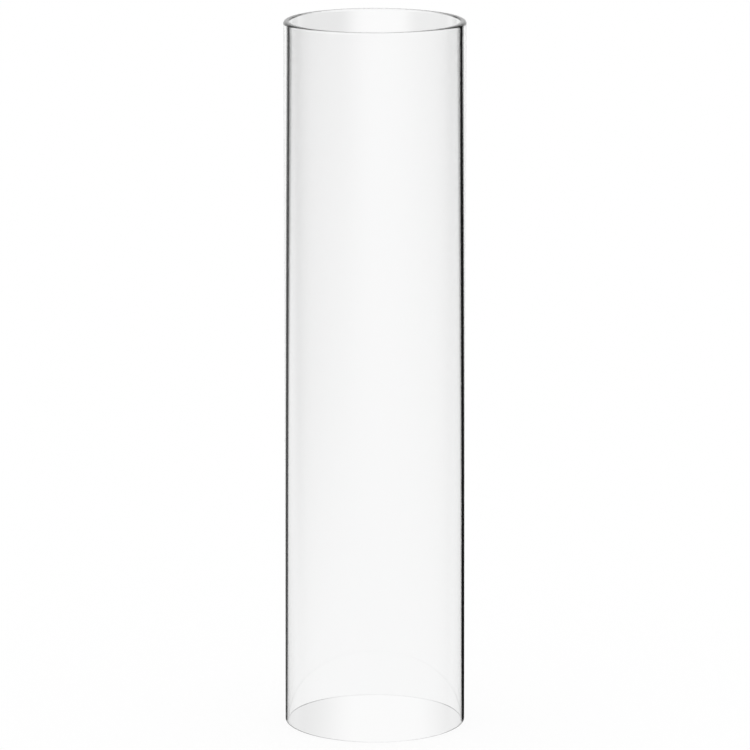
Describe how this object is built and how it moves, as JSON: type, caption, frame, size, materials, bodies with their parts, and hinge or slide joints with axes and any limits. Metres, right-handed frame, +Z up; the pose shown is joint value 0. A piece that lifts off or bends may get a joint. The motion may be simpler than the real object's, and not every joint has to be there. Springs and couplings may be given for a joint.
{
  "type": "candle chimney",
  "caption": "Straight clear glass chimney, open at both ends, with a ground foot to stand on and a thicker, flame-softened rim, to shelter a candle from draughts.",
  "frame": {"origin": "centre of the foot, on the plane that the tube stands on", "axes": "+Z up the axis, from the ground foot to the flame-softened rim; X and Y are free, the chimney is round"},
  "size_m": [0.1016, 0.1016, 0.4],
  "materials": {
    "clear_glass": "clear, smooth, flame-polished"
  },
  "bodies": {
    "root": {"chimney_tube": "clear_glass"}
  },
  "joints": []
}
